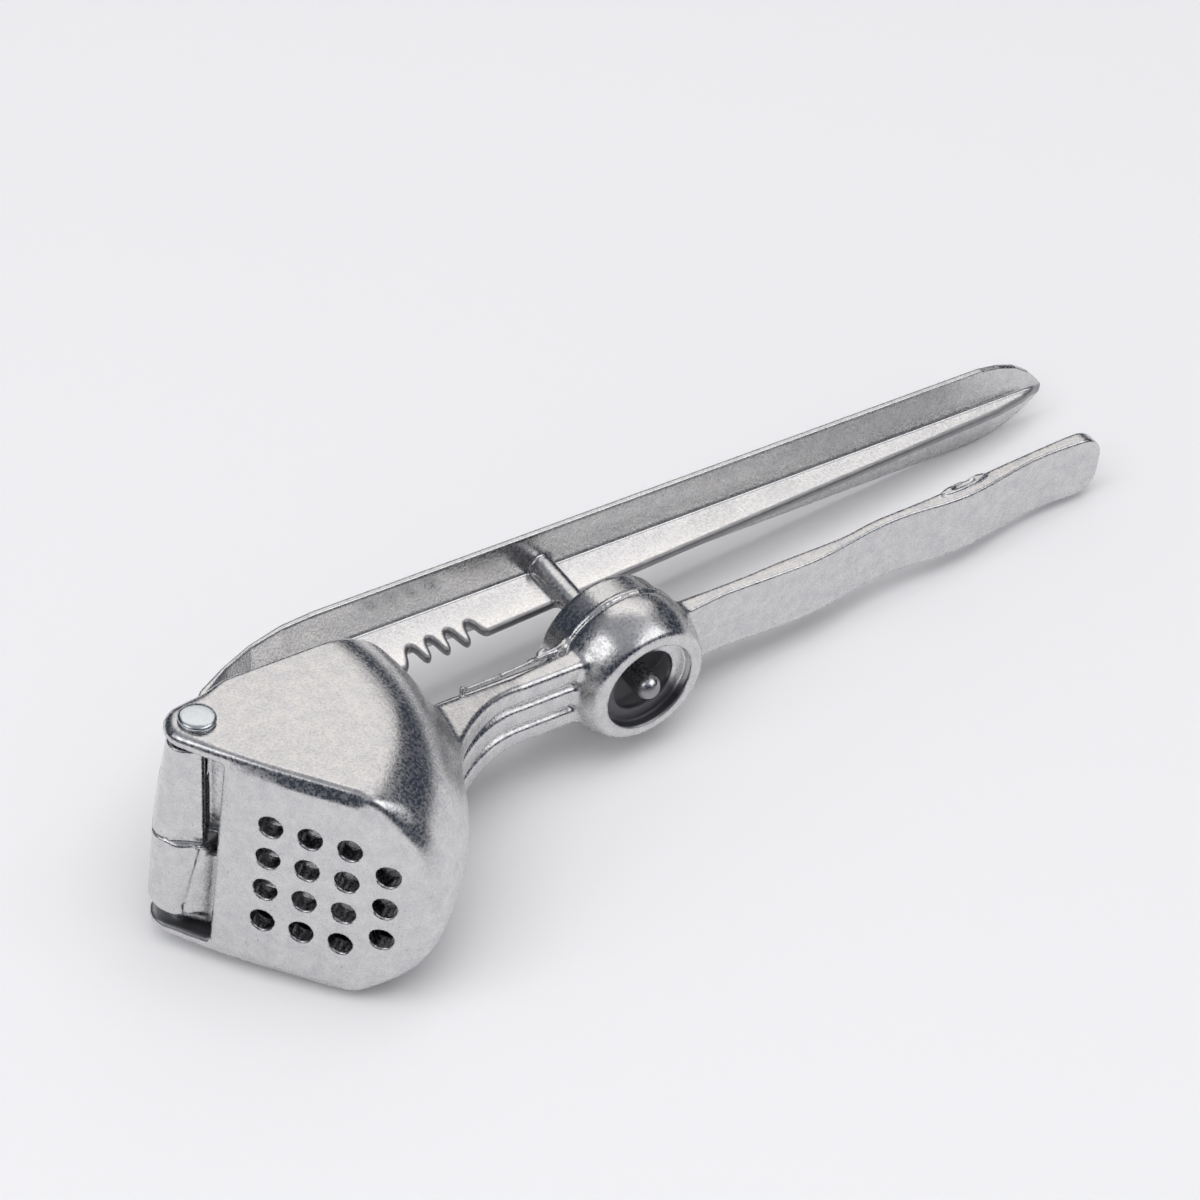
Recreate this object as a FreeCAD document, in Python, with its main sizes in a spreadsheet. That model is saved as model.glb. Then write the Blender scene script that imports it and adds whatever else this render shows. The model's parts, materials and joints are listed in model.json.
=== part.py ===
import FreeCAD, Part
import os
import Sketcher
from FreeCAD import Placement, Rotation, Vector

# Garlic press and olive pitter, die-cast in two levers that turn on one rivet.
# Each lever is drawn about the hinge axis, in the mid-plane of the casting:
# x along the levers, y towards the plunger lever, z along the hinge axis.
# A placement then moves it so that the origin lies on the hopper's lower side.

doc = FreeCAD.newDocument("olive_pitter")
sizes = doc.addObject("Spreadsheet::Sheet", "sizes")

# ---------------------------------------------------------------- driving sizes
SIZES = [
    # where the hinge axis stands from the origin
    ("hinge_ahead", -16.0, "hinge axis from the origin, along x"),
    ("hinge_aside", 8.0, "hinge axis from the origin, along y"),
    # hopper
    ("hopper_width", 39.6, "over both side walls"),
    ("side_wall", 2.4, "thickness of a side wall"),
    ("bowl_radius", 40.6, "end wall, from the hinge axis"),
    ("bowl_wall", 3.0, "thickness of the end wall"),
    ("bowl_corner", 15.5, "rounding from side wall to end wall"),
    ("face_angle", -51.5, "strainer face, turned from x, degrees"),
    ("face_offset", 6.25, "strainer face from the hinge axis"),
    ("face_wall", 3.0, "thickness of the strainer wall"),
    ("face_start", 5.9, "near end of the strainer wall, from the hinge axis"),
    ("back_edge", 5.9, "back edge of the side walls, from the hinge axis"),
    ("back_knee", 8.0, "where the ear runs into the back edge"),
    ("ear_radius", 5.0, "round ear about the rivet"),
    # strainer holes
    ("hole_bore", 3.7, "diameter of a strainer hole"),
    ("hole_pitch", 6.0, "between columns"),
    ("hole_row_pitch", 6.2, "between the holes of a column"),
    ("hole_first", 14.0, "first column from the hinge axis"),
    # neck
    ("neck_root_front", 12.6, "front edge at the end wall, from the mid-line"),
    ("neck_front", 4.7, "front edge at the cup"),
    ("neck_back", 1.0, "back of the fluted strip, in front of the mid-line"),
    ("neck_rib_rise", 3.4, "back of the rib behind the neck, from the mid-line"),
    ("neck_rib_wall", 2.4, "thickness of that rib"),
    ("neck_flare_end", 55.0, "where the flare ends, from the hinge axis"),
    ("neck_flare_radius", 26.0, "flare into the end wall"),
    ("neck_root_height", 16.6, "height at the end wall"),
    ("neck_end_height", 12.2, "height at the cup"),
    ("neck_groove_depth", 1.1, "grooves between the three ribs"),
    ("neck_groove_width", 1.2, "width of a groove"),
    ("neck_groove_spacing", 4.4, "between the two grooves"),
    # olive cup
    ("cup_reach", 76.6, "cup axis from the hinge axis"),
    ("cup_radius", 11.8, "widest part of the cup"),
    ("cup_waist", 1.3, "widest part of the cup, from the mid-line"),
    ("cup_mouth", 6.5, "flat rim, towards the plunger lever"),
    ("cup_floor", 8.2, "near face, away from the plunger lever"),
    ("collar_radius", 11.0, "outside of the rim band"),
    ("collar_width", 5.9, "width of the rim band"),
    ("cup_lip_radius", 9.5, "outside of the lip round the stone hole"),
    ("cup_bore_radius", 9.0, "inside of the mouth"),
    ("cup_seat_depth", 7.1, "straight part of the mouth"),
    ("stone_hole_radius", 5.4, "hole that the stone leaves by"),
    ("stone_rebate_radius", 7.7, "rebate round the stone hole"),
    ("stone_rebate_depth", 1.8, "depth of the rebate"),
    ("stone_ledge", 1.0, "thickness of the ledge inside the rebate"),
    # hopper lever's handle
    ("grip_height", 11.6, "height of the grip"),
    ("grip_wall", 2.4, "thickness of the grip"),
    ("grip_reach", 173.2, "tip of the grip, from the hinge axis"),
    ("grip_root_front", 2.3, "front of the grip at the cup, from the mid-line"),
    ("grip_tip_front", 2.1, "front of the grip at its tip, back from the mid-line"),
    ("grip_tip_run", 6.0, "straight length at the tip"),
    ("grip_tip_round", 4.4, "rounding of the grip's tip"),
    ("grip_rib_wall", 2.4, "rib behind the grip"),
    ("grip_rib_rise", 5.6, "back of the rib at the cup, from the mid-line"),
    ("grip_rib_reach", 160.0, "where the rib runs out"),
    # plunger lever's barrel
    ("barrel_radius", 5.2, "lower half of the barrel about the rivet"),
    ("barrel_middle_radius", 4.3, "upper half where it stands on the lower half"),
    ("barrel_top_radius", 3.7, "upper half at its top"),
    ("barrel_upper_shift", 0.9, "upper half from the rivet, away from the strainer"),
    ("barrel_gap_low", 2.6, "below the barrel"),
    ("barrel_gap_high", 0.5, "above the barrel"),
    # plunger
    ("plunger_gap", 0.5, "plunger to the hopper's walls"),
    ("plunger_open", 4.9, "plunger face from the strainer at rest, degrees"),
    ("plunger_face_gap", 0.25, "plunger face to the strainer wall when shut"),
    ("plunger_wall", 4.2, "thickness of the plunger"),
    # plunger lever's handle
    ("flange_offset", 23.2, "outer face of the flange from the hinge axis"),
    ("flange_wall", 1.6, "thickness of the flange"),
    ("flange_height", 16.0, "height of the flange"),
    ("flange_bend_start", 11.0, "where the flange begins to bend"),
    ("flange_bend_drop", 7.3, "how far the bend brings it in"),
    ("flange_bend_end", 35.0, "where the flange runs straight"),
    ("flange_bend_radius", 43.0, "outer radius of the bend"),
    ("flange_bend_ahead", 1.0, "inside of the bend starts further along"),
    ("flange_bend_inward", 0.3, "and that much nearer the outside"),
    ("flange_root_ahead", -3.3, "flange's outer face on the barrel, along x"),
    ("flange_root_aside", 3.95, "flange's outer face on the barrel, along y"),
    ("flange_reach", 177.7, "tip of the flange, from the hinge axis"),
    ("flange_tip_round", 7.6, "rounding of the flange's tip"),
    ("flange_tip_length", 14.0, "length of the tapered tip"),
    ("web_wall", 1.6, "thickness of the web"),
    ("web_step", 16.0, "where the web's edge steps over the end wall, degrees"),
    ("web_edge_near", 13.3, "web edge at the teeth, from the hinge axis"),
    ("web_edge_far", 19.5, "web edge at the tip"),
    ("web_reach", 174.0, "where the web begins to run out"),
    ("web_run_out", 2.5, "length of the web's end"),
    ("tooth_lead", 5.7, "from the step to the first tooth"),
    ("tooth_first", 46.1, "first tooth from the hinge axis"),
    ("tooth_first_drop", 0.8, "first tooth's tip below the web edge"),
    ("tooth_rise", 0.13, "each tooth's tip above the one before"),
    ("tooth_pitch", 3.7, "between teeth"),
    ("tooth_depth", 3.6, "depth of a notch"),
    ("tooth_slope", 2.6, "long flank of a tooth"),
    # pitting rod
    ("rod_bore", 4.1, "diameter of the pitting rod"),
    ("rod_reach", 76.3, "rod from the hinge axis"),
    ("rod_root_gap", 1.0, "middle of the rod's round end to the flange"),
    ("rod_root_rise", 1.5, "rod's round end above the mid-plane"),
    ("rod_tip_depth", 9.7, "tip of the rod past the hinge axis"),
    # rivet
    ("rivet_bore", 4.0, "diameter of the rivet's shank"),
    ("rivet_fit", 0.01, "shank to the ears, on the radius"),
    ("rivet_play", 0.06, "shank to the barrel, on the radius"),
    ("rivet_head", 5.6, "diameter of the head"),
    ("rivet_head_rise", 1.1, "height of the head"),
    ("rivet_head_crown", 0.35, "crown of the head"),
    ("rivet_tail", 5.8, "diameter of the spread tail"),
    ("rivet_tail_depth", 0.9, "depth of the countersink"),
    # how far one form runs into the next, and a cutting shape past what it cuts
    ("overlap", 2.0, "between forms of one casting"),
]
# bends of the grip's front: from the hinge axis, from the mid-line, and the radius
# and turn of the wave that follows, or no turn where it runs straight
GRIP_BENDS = [
    (97.0, -1.1, 125.0, 1),
    (117.0, -1.1, 0.0, 0),
    (125.0, 0.3, 50.0, -1),
    (136.0, 0.5, 0.0, 0),
    (141.0, -0.1, 80.0, 1),
    (148.0, 0.3, 0.0, 0),
    (157.0, 1.9, 60.0, -1),
]
for number, (reach, front, radius, turn) in enumerate(GRIP_BENDS, start=1):
    SIZES.append(("bend_reach_%d" % number, reach, "bend of the grip, from the hinge axis"))
    SIZES.append(("bend_front_%d" % number, front, "front of the grip at the bend"))
    if turn:
        SIZES.append(("bend_radius_%d" % number, radius, "wave that follows the bend"))
HOLE_COLUMNS = 3
HOLE_ROWS = 4
TOOTH_COUNT = 4

for row, (alias, number, note) in enumerate(SIZES, start=1):
    sizes.set("A%d" % row, alias)
    sizes.set("B%d" % row, str(number))
    sizes.set("C%d" % row, note)
    sizes.setAlias("B%d" % row, alias)
doc.recompute()


def value(expression):
    """the number that an expression gives now"""
    result = sizes.evalExpression(expression)
    return float(getattr(result, "Value", result))


# ---------------------------------------------------------------- building blocks
def bind(thing, bindings):
    """ties properties to expressions on the sheet"""
    for name, expression in bindings.items():
        thing.setExpression(name, expression)
    return thing


def arc_middle(start, end, radius, side):
    """the middle of the short arc from start to end; side is 1 for counter-clockwise"""
    chord = end - start
    left = Vector(-chord.y, chord.x, 0).normalize()
    half = chord.Length / 2
    centre = (start + end) / 2 + left * side * (max(radius * radius - half * half, 0)) ** 0.5
    return centre - left * side * radius


def hold(sketch, number, expression, *constraint):
    """adds a sketch constraint whose number follows an expression"""
    index = sketch.addConstraint(Sketcher.Constraint(*constraint, number))
    sketch.setExpression("Constraints[%d]" % index, expression)


def trace(sketch, corners, arcs=None):
    """a closed outline: its corners are pairs of expressions, and arcs gives some
    sides a radius expression and a turn"""
    arcs = arcs or {}
    points = [Vector(value(x), value(y), 0) for x, y in corners]
    ends = []
    for side, start in enumerate(points):
        end = points[(side + 1) % len(points)]
        if side in arcs:
            radius, turn = arcs[side]
            middle = arc_middle(start, end, value(radius), turn)
            sketch.addGeometry(Part.Arc(start, middle, end), False)
        else:
            sketch.addGeometry(Part.LineSegment(start, end), False)
        gaps = [sketch.getPoint(side, which).distanceToPoint(start) for which in (1, 2)]
        ends.append((1, 2) if gaps[0] < gaps[1] else (2, 1))
    for side, (x, y) in enumerate(corners):
        following = (side + 1) % len(corners)
        first, last = ends[side]
        sketch.addConstraint(Sketcher.Constraint("Coincident", side, last, following, ends[following][0]))
        hold(sketch, points[side].x, x, "DistanceX", -1, 1, side, first)
        hold(sketch, points[side].y, y, "DistanceY", -1, 1, side, first)
        if side in arcs:
            hold(sketch, value(arcs[side][0]), arcs[side][0], "Radius", side)
    return sketch


def outline(name, corners, arcs=None, upright=False):
    """a closed sketch in the plan, or upright in the x-z plane"""
    sketch = doc.addObject("Sketcher::SketchObject", name)
    if upright:
        sketch.Placement = Placement(Vector(0, 0, 0), Rotation(Vector(1, 0, 0), 90))
    return trace(sketch, corners, arcs)


def slab(name, sketch, height, direction=Vector(0, 0, 1)):
    """a sketch pushed out evenly to both sides of its plane"""
    body = doc.addObject("Part::Extrusion", name)
    body.Base = sketch
    body.DirMode = "Custom"
    body.Dir = direction
    body.Solid = True
    body.Symmetric = True
    return bind(body, {"LengthFwd": height})


def turned(name, sketch, axis=Vector(0, 0, 1)):
    """a sketch turned once round an axis through the hinge"""
    body = doc.addObject("Part::Revolution", name)
    body.Source = sketch
    body.Axis = axis
    body.Angle = 360
    body.Solid = True
    return body


def block(name, low, high):
    """a box between two corners, each given as three expressions"""
    body = doc.addObject("Part::Box", name)
    for side, start, end in zip(("Length", "Width", "Height"), low, high):
        body.setExpression(side, "(%s) - (%s)" % (end, start))
    for letter, start in zip("xyz", low):
        body.setExpression("Placement.Base." + letter, start)
    return body


def rod(name, radius, low, high):
    """an upright cylinder about the hinge axis"""
    body = doc.addObject("Part::Cylinder", name)
    return bind(body, {"Radius": radius, "Height": "(%s) - (%s)" % (high, low), "Placement.Base.z": low})


def joined(name, shapes):
    body = doc.addObject("Part::MultiFuse", name)
    body.Shapes = shapes
    body.Refine = True
    return body


def shared(name, shapes):
    body = doc.addObject("Part::MultiCommon", name)
    body.Shapes = shapes
    body.Refine = True
    return body


def cut(name, base, tool):
    body = doc.addObject("Part::Cut", name)
    body.Base = base
    body.Tool = tool
    body.Refine = True
    return body


def swung(name, things, angle="sizes.face_angle", axis=Vector(0, 0, 1)):
    """shapes swung about the hinge: by default from the x axis to the strainer face"""
    group = doc.addObject("Part::Compound", name)
    group.Links = things
    group.Placement = Placement(Vector(0, 0, 0), Rotation(axis, 1))
    return bind(group, {"Placement.Rotation.Angle": angle})


def rounded_drum(name, radius, half_height, corner):
    """a drum about the hinge axis with rounded rims: the form of the hopper's bowl"""
    profile = outline(name + "_profile", [
        ("0", "-(%s)" % half_height),
        ("%s - (%s)" % (radius, corner), "-(%s)" % half_height),
        (radius, "(%s) - (%s)" % (corner, half_height)),
        (radius, "(%s) - (%s)" % (half_height, corner)),
        ("%s - (%s)" % (radius, corner), half_height),
        ("0", half_height),
    ], arcs={1: (corner, 1), 3: (corner, 1)}, upright=True)
    return turned(name, profile)


# expressions that several pieces share
HALF = "sizes.hopper_width / 2"
INNER_HALF = "(sizes.hopper_width / 2 - sizes.side_wall)"
BOWL_BORE = "(sizes.bowl_radius - sizes.bowl_wall)"
FAR = "(1.3 * sizes.bowl_radius)"
GRIP_ROOT = "(sizes.cup_reach + sizes.collar_radius - sizes.overlap)"


# ---------------------------------------------------------------- hopper lever
def on_face(along, outwards):
    """x and y of a point given along and out of the strainer face"""
    x = "(%s) * cos(sizes.face_angle) + (%s) * sin(sizes.face_angle)" % (along, outwards)
    y = "(%s) * sin(sizes.face_angle) - (%s) * cos(sizes.face_angle)" % (along, outwards)
    return x, y


def hopper_form():
    """the outside of the hopper: a sector of a rounded drum between its two ears"""
    drum = rounded_drum("hopper_drum", "sizes.bowl_radius", HALF, "sizes.bowl_corner")
    plan = outline("hopper_plan", [
        on_face("0", "sizes.ear_radius"),
        on_face("sizes.face_start", "sizes.face_offset"),
        on_face(FAR, "sizes.face_offset"),
        (FAR, "sizes.back_edge"),
        ("sizes.back_knee", "sizes.back_edge"),
        ("0", "sizes.ear_radius"),
    ], arcs={5: ("sizes.ear_radius", 1)})
    sector = slab("hopper_sector", plan, "sizes.hopper_width + sizes.overlap")
    return shared("hopper_form", [drum, sector])


def hopper_hollow():
    """the chamber that the plunger swings in, open at the back and beside the barrel"""
    drum = rounded_drum("chamber_drum", BOWL_BORE, INNER_HALF, "(sizes.bowl_corner - sizes.bowl_wall)")
    behind = block("behind_block",
                   ("-" + FAR, "sizes.face_wall - sizes.face_offset", "-" + HALF),
                   (FAR, FAR, HALF))
    chamber = shared("chamber", [drum, swung("behind_strainer", [behind])])
    beside = block("window_block",
                   ("-2 * sizes.ear_radius", "-2 * sizes.face_offset", "-" + INNER_HALF),
                   ("sizes.face_start", "2 * sizes.face_offset", INNER_HALF))
    return [chamber, swung("barrel_window", [beside])]


def strainer_holes():
    """three full columns of holes and a shorter one at the end, set between their rows"""
    holes = []
    places = [(column, row) for column in range(HOLE_COLUMNS) for row in range(HOLE_ROWS)]
    places += [(HOLE_COLUMNS, row + 0.5) for row in range(HOLE_ROWS - 1)]
    middle_row = (HOLE_ROWS - 1) / 2
    for number, (column, row) in enumerate(places, start=1):
        hole = doc.addObject("Part::Cylinder", "strainer_hole_%02d" % number)
        hole.Placement = Placement(Vector(0, 0, 0), Rotation(Vector(1, 0, 0), 90))
        bind(hole, {
            "Radius": "sizes.hole_bore / 2",
            "Height": "sizes.face_wall + 2 * sizes.overlap",
            "Placement.Base.x": "sizes.hole_first + %g * sizes.hole_pitch" % column,
            "Placement.Base.y": "sizes.face_wall - sizes.face_offset + sizes.overlap",
            "Placement.Base.z": "%g * sizes.hole_row_pitch" % (row - middle_row),
        })
        holes.append(hole)
    return swung("strainer_holes", holes)


def neck():
    """the fluted neck: flared at the hopper, three ribs along its front and one behind"""
    in_wall = "sqrt((sizes.bowl_radius - sizes.bowl_wall / 2)^2 - %s^2)"
    root = in_wall % "sizes.neck_root_front"
    end = "sizes.cup_reach - sizes.collar_radius / 2"
    plan = outline("neck_plan", [
        (root, "-sizes.neck_root_front"),
        ("sizes.neck_flare_end", "-sizes.neck_front"),
        (end, "-sizes.neck_front"),
        (end, "-sizes.neck_back"),
        (in_wall % "sizes.neck_back", "-sizes.neck_back"),
    ], arcs={0: ("sizes.neck_flare_radius", -1)})
    side = outline("neck_side", [
        (root, "-sizes.neck_root_height / 2"),
        (end, "-sizes.neck_end_height / 2"),
        (end, "sizes.neck_end_height / 2"),
        (root, "sizes.neck_root_height / 2"),
    ], upright=True)
    plan_slab = slab("neck_plan_slab", plan, "sizes.neck_root_height")
    side_slab = slab("neck_side_slab", side, "4 * sizes.neck_root_front", Vector(0, 1, 0))
    form = shared("neck_strip", [plan_slab, side_slab])
    rib = outline("neck_rib_plan", [
        (in_wall % "sizes.neck_back", "-2 * sizes.neck_back"),
        (end, "-2 * sizes.neck_back"),
        (end, "sizes.neck_rib_rise"),
        (in_wall % "sizes.neck_rib_rise", "sizes.neck_rib_rise"),
    ])
    clear = "-%s - sizes.neck_front"
    deep = "sizes.neck_groove_depth - %s"
    cup_side = "sizes.cup_reach - sizes.cup_radius"
    band = outline("neck_groove_plan", [
        ("sizes.bowl_radius", clear % "sizes.neck_root_front"),
        ("sizes.neck_flare_end", clear % "sizes.neck_front"),
        (cup_side, clear % "sizes.neck_front"),
        (cup_side, deep % "sizes.neck_front"),
        ("sizes.neck_flare_end", deep % "sizes.neck_front"),
        ("sizes.bowl_radius + sizes.neck_groove_depth", deep % "sizes.neck_root_front"),
    ], arcs={4: ("sizes.neck_flare_radius", 1)})
    grooves = []
    for name, sign in (("upper", ""), ("lower", "-")):
        groove = slab("neck_groove_" + name, band, "sizes.neck_groove_width")
        groove.setExpression("Placement.Base.z", sign + "sizes.neck_groove_spacing / 2")
        grooves.append(groove)
    fluted = cut("neck_fluted", form, joined("neck_grooves", grooves))
    return joined("neck", [fluted, slab("neck_rib", rib, "sizes.neck_rib_wall")])


def cup_parts():
    """the olive cup and its bore: both turned about an axis across the lever"""
    rim_front = "(sizes.cup_mouth - sizes.collar_width)"
    outer = outline("cup_profile", [
        ("sizes.cup_reach", "-sizes.cup_floor"),
        ("sizes.cup_reach + sizes.cup_lip_radius", "-sizes.cup_floor"),
        ("sizes.cup_reach + sizes.cup_radius", "-sizes.cup_waist"),
        ("sizes.cup_reach + sizes.collar_radius", rim_front),
        ("sizes.cup_reach + sizes.collar_radius", "sizes.cup_mouth"),
        ("sizes.cup_reach", "sizes.cup_mouth"),
    ], arcs={1: ("sizes.cup_radius", 1), 2: ("sizes.cup_radius", 1)})
    below = "-sizes.cup_floor - sizes.overlap"
    above = "sizes.cup_mouth + sizes.overlap"
    ledge = "sizes.stone_rebate_depth - sizes.cup_floor"
    inner = outline("cup_bore_profile", [
        ("sizes.cup_reach", below),
        ("sizes.cup_reach + sizes.stone_rebate_radius", below),
        ("sizes.cup_reach + sizes.stone_rebate_radius", ledge),
        ("sizes.cup_reach + sizes.stone_hole_radius", ledge),
        ("sizes.cup_reach + sizes.stone_hole_radius", ledge + " + sizes.stone_ledge"),
        ("sizes.cup_reach + sizes.cup_bore_radius", "sizes.cup_mouth - sizes.cup_seat_depth"),
        ("sizes.cup_reach + sizes.cup_bore_radius", above),
        ("sizes.cup_reach", above),
    ])
    shapes = []
    for name, profile in (("cup_form", outer), ("cup_bore", inner)):
        shape = turned(name, profile, Vector(0, 1, 0))
        bind(shape, {"Base.x": "sizes.cup_reach"})
        shapes.append(shape)
    return shapes


def grip():
    """the hopper lever's handle: an upright strip, waved for the fingers"""
    front = [(GRIP_ROOT, "-sizes.grip_root_front")]
    for number in range(1, len(GRIP_BENDS) + 1):
        front.append(("sizes.bend_reach_%d" % number, "sizes.bend_front_%d" % number))
    front.append(("sizes.grip_reach - sizes.grip_tip_run", "sizes.grip_tip_front"))
    front.append(("sizes.grip_reach", "sizes.grip_tip_front"))
    back = [(x, "(%s) + sizes.grip_wall" % y) for x, y in reversed(front)]
    waves = {}
    for number, (reach, depth, radius, turn) in enumerate(GRIP_BENDS, start=1):
        if turn:
            waves[number] = ("sizes.bend_radius_%d" % number, turn)
            waves[2 * len(front) - 2 - number] = ("sizes.bend_radius_%d" % number, -turn)
    plan = outline("grip_plan", front + back, arcs=waves)
    half = "sizes.grip_height / 2"
    side = outline("grip_side", [
        (GRIP_ROOT, "-" + half),
        ("sizes.grip_reach - sizes.grip_tip_round", "-" + half),
        ("sizes.grip_reach", "sizes.grip_tip_round - " + half),
        ("sizes.grip_reach", half + " - sizes.grip_tip_round"),
        ("sizes.grip_reach - sizes.grip_tip_round", half),
        (GRIP_ROOT, half),
    ], arcs={1: ("sizes.grip_tip_round", 1), 3: ("sizes.grip_tip_round", 1)}, upright=True)
    plan_slab = slab("grip_plan_slab", plan, "sizes.grip_height")
    side_slab = slab("grip_side_slab", side, "sizes.bowl_radius", Vector(0, 1, 0))
    middle = "sizes.bend_front_%d + sizes.grip_wall / 2"
    rib = outline("grip_rib_plan", [
        (GRIP_ROOT, "sizes.grip_wall / 2 - sizes.grip_root_front"),
        ("sizes.bend_reach_2", middle % 2),
        ("sizes.grip_rib_reach", middle % 7),
        (GRIP_ROOT, "sizes.grip_rib_rise"),
    ])
    return [shared("grip_strip", [plan_slab, side_slab]), slab("grip_rib", rib, "sizes.grip_rib_wall")]


def hopper_lever():
    """the fixed lever: hopper, neck, olive cup and grip in one casting"""
    cup_form, cup_bore = cup_parts()
    form = joined("hopper_lever_form", [hopper_form(), neck(), cup_form] + grip())
    bore = rod("hopper_rivet_bore", "sizes.rivet_bore / 2 + sizes.rivet_fit",
               "-%s - sizes.overlap" % HALF, "%s + sizes.overlap" % HALF)
    sink = doc.addObject("Part::Cone", "hopper_tail_sink")
    bind(sink, {
        "Radius1": "sizes.rivet_tail / 2",
        "Radius2": "sizes.rivet_bore / 2 + sizes.rivet_fit",
        "Height": "sizes.rivet_tail_depth",
        "Placement.Base.z": "-" + HALF,
    })
    hollows = hopper_hollow() + [strainer_holes(), cup_bore, bore, sink]
    return cut("hopper_lever", form, joined("hopper_lever_hollows", hollows))


# ---------------------------------------------------------------- plunger lever
def plunger():
    """the plunger head: the chamber's own section less a gap, swung clear of the strainer"""
    drum = rounded_drum("plunger_drum", "(%s - sizes.plunger_gap)" % BOWL_BORE,
                        "(%s - sizes.plunger_gap)" % INNER_HALF,
                        "(sizes.bowl_corner - sizes.bowl_wall)")
    front = "sizes.face_wall + sizes.plunger_face_gap - sizes.face_offset"
    plate = block("plunger_plate",
                  ("0", front, "-" + HALF),
                  (FAR, front + " + sizes.plunger_wall", HALF))
    open_plate = swung("plunger_swung", [plate], "sizes.face_angle + sizes.plunger_open")
    return shared("plunger", [drum, open_plate])


def flange():
    """the flange: straight along the handle, bent in over the hopper to the barrel"""
    outer = "sizes.flange_offset"
    inner = "(sizes.flange_offset - sizes.flange_wall)"
    ahead = "sizes.flange_bend_start + sizes.flange_bend_ahead"
    plan = outline("flange_plan", [
        ("sizes.flange_bend_end", outer),
        ("sizes.flange_bend_start", outer + " - sizes.flange_bend_drop"),
        ("sizes.flange_root_ahead", "sizes.flange_root_aside"),
        ("0", "0"),
        (ahead, inner + " - sizes.flange_bend_drop + sizes.flange_bend_inward"),
        ("sizes.flange_bend_end", inner),
        ("sizes.flange_reach", inner),
        ("sizes.flange_reach", outer),
    ], arcs={0: ("sizes.flange_bend_radius", 1), 4: ("sizes.flange_bend_radius - sizes.flange_wall", -1)})
    half = "sizes.flange_height / 2"
    shoulder = "sizes.flange_reach - sizes.flange_tip_length"
    side = outline("flange_side", [
        ("-sizes.barrel_radius", "-" + half),
        (shoulder, "-" + half),
        ("sizes.flange_reach", "0"),
        (shoulder, half),
        ("-sizes.barrel_radius", half),
    ], arcs={1: ("sizes.flange_tip_length + sizes.flange_tip_round", 1),
             2: ("sizes.flange_tip_length + sizes.flange_tip_round", 1)}, upright=True)
    plan_slab = slab("flange_plan_slab", plan, "sizes.flange_height")
    side_slab = slab("flange_side_slab", side, "3 * sizes.flange_offset", Vector(0, 1, 0))
    return shared("flange", [plan_slab, side_slab])


def web():
    """the web: from the plunger's back out to the tip, toothed beside the hopper"""
    swing = "(%s - 2 * sizes.plunger_gap)" % BOWL_BORE
    toe = "sizes.face_angle + sizes.plunger_open"
    first_tip = "sizes.web_edge_near - sizes.tooth_first_drop"
    in_flange = "sizes.flange_offset - sizes.flange_wall / 2"
    corners = [
        ("0", "0"),
        ("%s * cos(%s)" % (swing, toe), "%s * sin(%s)" % (swing, toe)),
        ("%s * cos(sizes.web_step)" % swing, "%s * sin(sizes.web_step)" % swing),
        ("sizes.tooth_first - sizes.tooth_lead", first_tip),
    ]
    for tooth in range(TOOTH_COUNT):
        tip = "sizes.tooth_first + %d * sizes.tooth_pitch" % tooth
        edge = first_tip + " + %d * sizes.tooth_rise" % tooth
        corners.append((tip, edge))
        corners.append((tip + " + sizes.tooth_slope", edge + " + sizes.tooth_depth"))
    corners += [
        ("sizes.tooth_first + %d * sizes.tooth_pitch" % TOOTH_COUNT, "sizes.web_edge_near"),
        ("sizes.web_reach", "sizes.web_edge_far"),
        ("sizes.web_reach + sizes.web_run_out", in_flange),
        ("sizes.flange_bend_end", in_flange),
        ("sizes.flange_bend_start", "sizes.flange_offset - sizes.flange_bend_drop - sizes.flange_wall"),
    ]
    plan = outline("web_plan", corners, arcs={1: (swing, 1)})
    return slab("web", plan, "sizes.web_wall")


def pitting_rod():
    """the rod cast into the web, round at both ends; its tip stands in the cup's hole"""
    root = "(sizes.flange_offset - sizes.flange_wall - sizes.rod_root_gap)"
    length = "(%s + sizes.rod_tip_depth - sizes.rod_bore / 2)" % root
    shaft = doc.addObject("Part::Cylinder", "rod_shaft")
    shaft.Placement = Placement(Vector(0, 0, 0), Rotation(Vector(1, 0, 0), 90))
    bind(shaft, {"Radius": "sizes.rod_bore / 2", "Height": length})
    ends = []
    for name, place in (("rod_root", "0"), ("rod_tip", "-" + length)):
        end = doc.addObject("Part::Sphere", name)
        ends.append(bind(end, {"Radius": "sizes.rod_bore / 2", "Placement.Base.y": place}))
    form = joined("rod_form", [shaft] + ends)
    leaning = swung("pitting_rod", [form], "atan(sizes.rod_root_rise / %s)" % length, Vector(1, 0, 0))
    return bind(leaning, {
        "Placement.Base.x": "sizes.rod_reach",
        "Placement.Base.y": root,
        "Placement.Base.z": "sizes.rod_root_rise",
    })


def plunger_lever():
    """the moving lever: barrel, plunger, T-shaped handle and pitting rod in one casting"""
    low = "sizes.barrel_gap_low - " + INNER_HALF
    high = INNER_HALF + " - sizes.barrel_gap_high"
    lower = rod("barrel_lower", "sizes.barrel_radius", low, "0")
    upper = doc.addObject("Part::Cone", "barrel_upper")
    bind(upper, {
        "Radius1": "sizes.barrel_middle_radius",
        "Radius2": "sizes.barrel_top_radius",
        "Height": high,
        "Placement.Base.x": "-sizes.barrel_upper_shift",
    })
    form = joined("plunger_lever_form", [lower, upper, plunger(), flange(), web(), pitting_rod()])
    bore = rod("plunger_rivet_bore", "sizes.rivet_bore / 2 + sizes.rivet_play", "-" + HALF, HALF)
    return cut("plunger_lever", form, bore)


# ---------------------------------------------------------------- hinge rivet
def origin_plane(body, role):
    for feature in body.Origin.OriginFeatures:
        if feature.Role == role:
            return feature


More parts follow.
